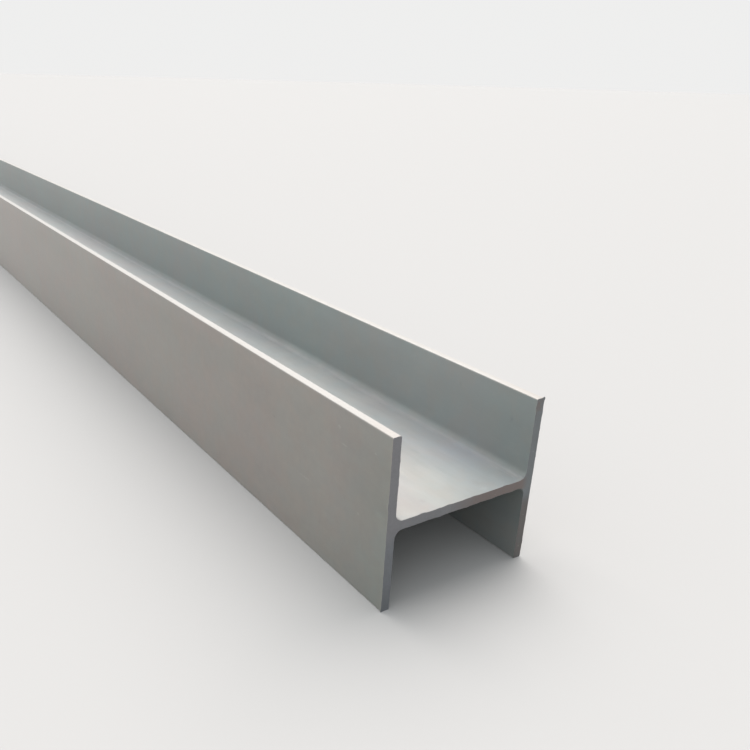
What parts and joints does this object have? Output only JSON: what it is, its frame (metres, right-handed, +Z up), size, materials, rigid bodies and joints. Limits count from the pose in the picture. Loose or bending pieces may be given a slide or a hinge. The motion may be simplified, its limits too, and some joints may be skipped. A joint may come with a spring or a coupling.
{
  "type": "wide flange steel beam",
  "caption": "Hot-rolled steel H-beam in bare mill finish, its wide parallel flanges joined by a web as thick as they are, sawn square to stock length and lying with its web level.",
  "frame": {"origin": "floor level, under the middle of the beam", "axes": "+Y along the beam away from the front sawn end, +X across the flanges towards the right one, +Z up"},
  "size_m": [0.308, 12, 0.31],
  "materials": {
    "mill_steel": "matte"
  },
  "bodies": {
    "root": {"h_beam": "mill_steel"}
  },
  "joints": []
}
